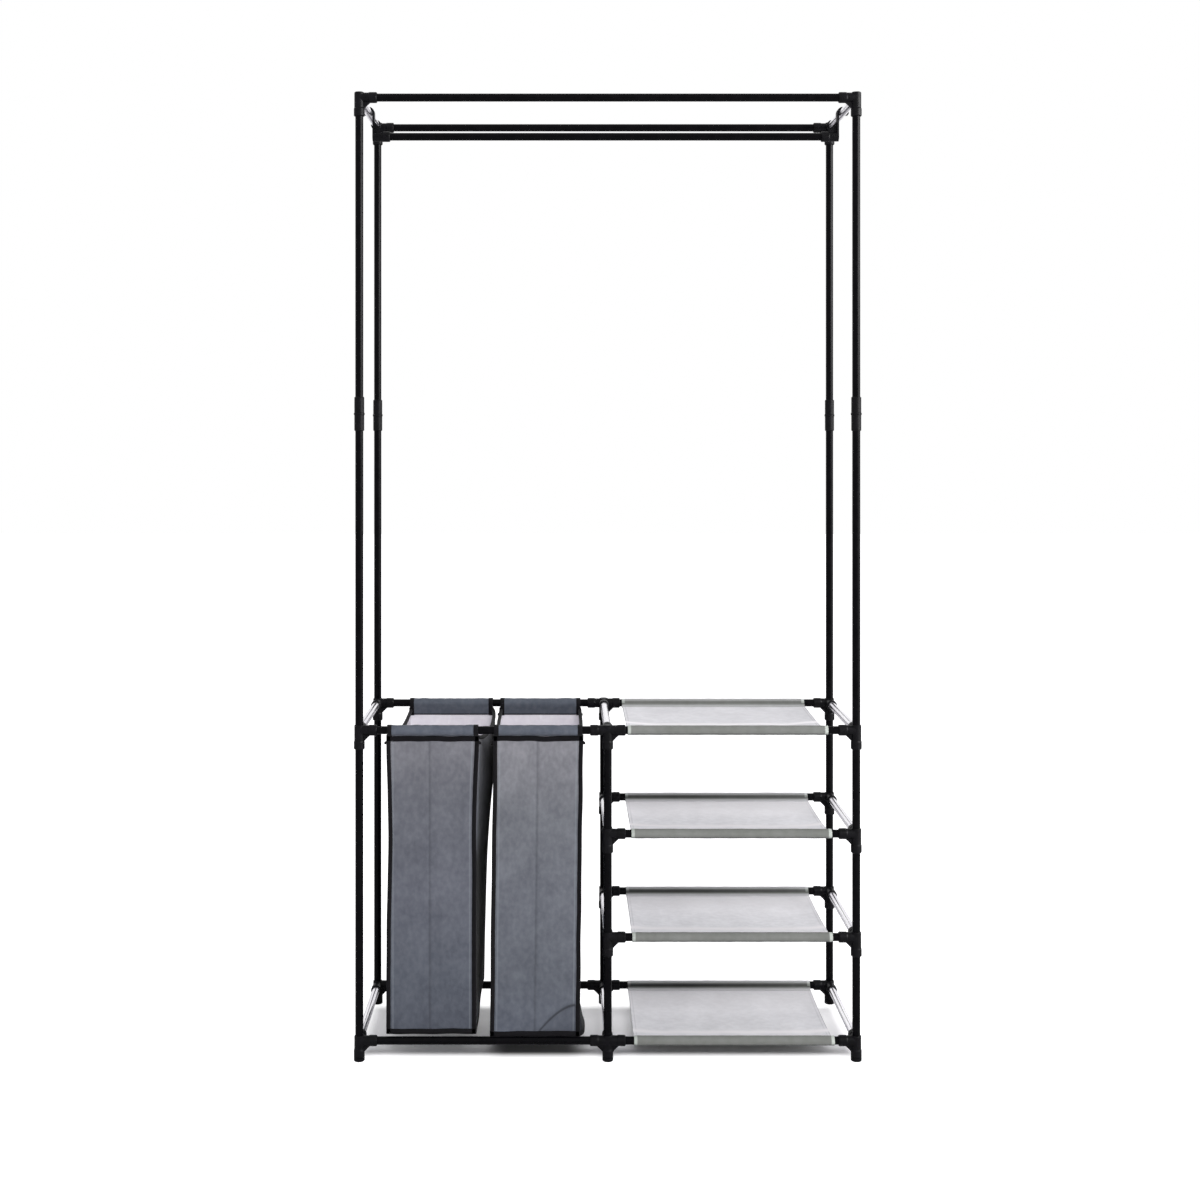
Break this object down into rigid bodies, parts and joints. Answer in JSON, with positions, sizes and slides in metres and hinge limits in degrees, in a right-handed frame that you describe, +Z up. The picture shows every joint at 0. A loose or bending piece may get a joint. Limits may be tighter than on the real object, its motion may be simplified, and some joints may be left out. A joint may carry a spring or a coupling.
{
  "type": "open garment rack",
  "caption": "Open garment rack of black tubes and push-in connectors, with a high clothes rail, hanging laundry bags below on the left and stretched cloth shelves below on the right.",
  "frame": {"origin": "on the floor, under the middle of the rack between its front and rear posts", "axes": "+Z up, +X to the right of someone who faces the front of the rack, -Y towards that person, so the front rails are at negative Y"},
  "size_m": [0.8934, 0.299, 1.7002],
  "materials": {
    "black_tube": "semi-gloss black powder coat",
    "bright_tube": "bright plated tube",
    "black_plastic": "satin moulded plastic",
    "bag_cloth": "grey non-woven cloth, pale inside",
    "binding_tape": "black woven tape",
    "shelf_cloth": "light grey non-woven cloth"
  },
  "bodies": {
    "frame": {"bag_rail_front": "black_tube", "bag_rail_rear": "black_tube", "base_connectors": "black_plastic", "base_rail_front": "black_tube", "base_rail_rear": "black_tube", "clothes_rail": "black_tube", "foot_caps": "black_plastic", "left_side_rails": "bright_tube", "lower_post_front_left": "black_tube", "lower_post_rear_left": "black_tube", "lower_posts_front_centre": "black_tube", "lower_posts_front_right": "black_tube", "lower_posts_rear_centre": "black_tube", "lower_posts_rear_right": "black_tube", "middle_post_front_left": "black_tube", "middle_post_front_right": "black_tube", "middle_post_rear_left": "black_tube", "middle_post_rear_right": "black_tube", "post_couplers": "black_plastic", "rack_connector_front_centre": "black_plastic", "rack_connector_front_left": "black_plastic", "rack_connector_front_right": "black_plastic", "rack_connector_rear_centre": "black_plastic", "rack_connector_rear_left": "black_plastic", "rack_connector_rear_right": "black_plastic", "rail_hangers": "black_plastic", "shelf_1_cloth": "shelf_cloth", "shelf_1_rail_front": "black_tube", "shelf_1_rail_rear": "black_tube", "shelf_1_side_rails": "bright_tube", "shelf_2_cloth": "shelf_cloth", "shelf_2_connectors": "black_plastic", "shelf_2_rail_front": "black_tube", "shelf_2_rail_rear": "black_tube", "shelf_2_side_rails": "bright_tube", "shelf_3_cloth": "shelf_cloth", "shelf_3_connectors": "black_plastic", "shelf_3_rail_front": "black_tube", "shelf_3_rail_rear": "black_tube", "shelf_3_side_rails": "bright_tube", "shelf_4_cloth": "shelf_cloth", "shelf_4_rail_front": "black_tube", "shelf_4_rail_rear": "black_tube", "shelf_4_side_rails": "bright_tube", "top_connector_front_left": "black_plastic", "top_connector_front_right": "black_plastic", "top_connector_rear_left": "black_plastic", "top_connector_rear_right": "black_plastic", "top_rail_front": "black_tube", "top_rail_rear": "black_tube", "top_side_rails": "bright_tube", "upper_post_front_left": "black_tube", "upper_post_front_right": "black_tube", "upper_post_rear_left": "black_tube", "upper_post_rear_right": "black_tube"},
    "bag_left": {"laundry_bag_left": "bag_cloth", "bag_binding_left": "binding_tape"},
    "bag_right": {"laundry_bag_right": "bag_cloth", "bag_binding_right": "binding_tape"}
  },
  "joints": [
    {"name": "bag_left_slide", "type": "slide", "parent": "frame", "child": "bag_left", "axis": [1, 0, 0], "range_m": [-0.014, 0.002]},
    {"name": "bag_right_slide", "type": "slide", "parent": "frame", "child": "bag_right", "axis": [1, 0, 0], "range_m": [-0.003, 0.01]}
  ]
}
